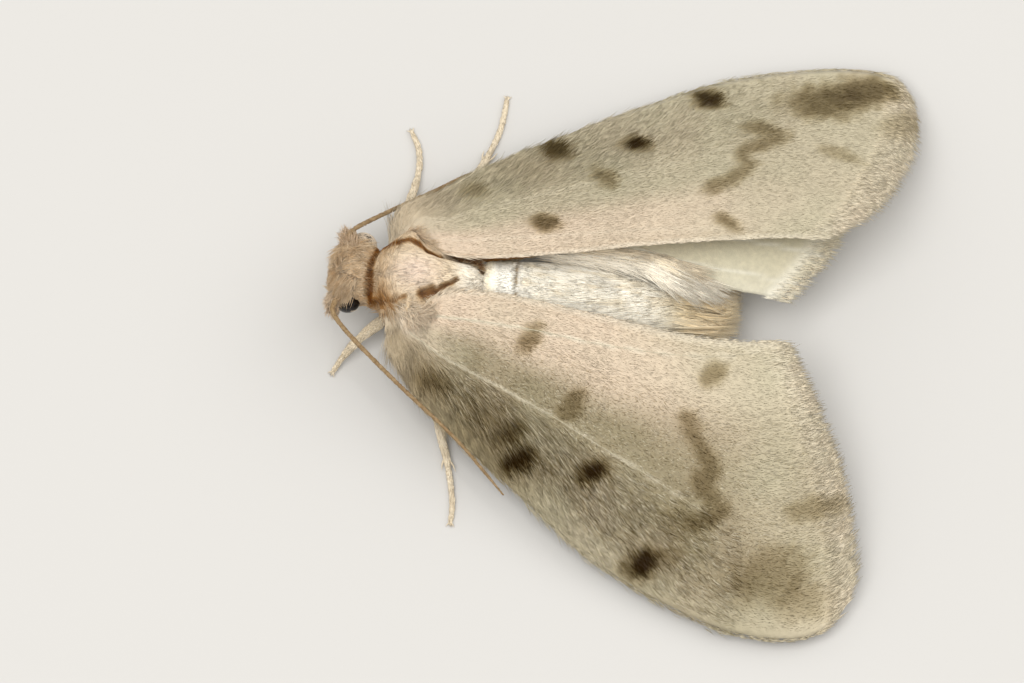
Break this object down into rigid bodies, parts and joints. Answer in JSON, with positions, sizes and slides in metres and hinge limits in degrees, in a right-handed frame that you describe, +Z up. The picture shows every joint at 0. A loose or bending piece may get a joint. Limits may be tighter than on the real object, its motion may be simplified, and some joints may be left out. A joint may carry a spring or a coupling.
{
  "type": "moth model",
  "caption": "Life-size still model of a small pale moth resting on its six feet, wings half spread like a low roof, feelers swept back.",
  "frame": {"origin": "middle of the bottom of the moth's bounding box, on the floor it stands on", "axes": "the moth looks towards -Y, its left side is +X, +Z up from the floor"},
  "size_m": [0.0124, 0.0119, 0.0028],
  "materials": {
    "body_fur": "soft matt fur of fine hair scales",
    "tail_fur": "matt tan-brown tuft",
    "wing_scales": "matt cream-buff hair scales with grey-brown spots",
    "hindwing_scales": "pale satin cream scales",
    "leg_scales": "pale cream, close scales",
    "antenna": "matt brown-buff",
    "eye": "glossy black"
  },
  "bodies": {
    "root": {"head": "body_fur", "eye_left": "eye", "eye_right": "eye", "antenna_left": "antenna", "antenna_right": "antenna", "palp_left": "leg_scales", "palp_right": "leg_scales", "thorax": "body_fur", "tegula_left": "body_fur", "tegula_right": "body_fur", "abdomen": "body_fur", "tail_tuft": "tail_fur", "forewing_left": "wing_scales", "forewing_right": "wing_scales", "hindwing_left": "hindwing_scales", "hindwing_right": "hindwing_scales", "leg_front_left": "leg_scales", "leg_front_right": "leg_scales", "leg_middle_left": "leg_scales", "leg_middle_right": "leg_scales", "leg_hind_left": "leg_scales", "leg_hind_right": "leg_scales"}
  },
  "joints": []
}
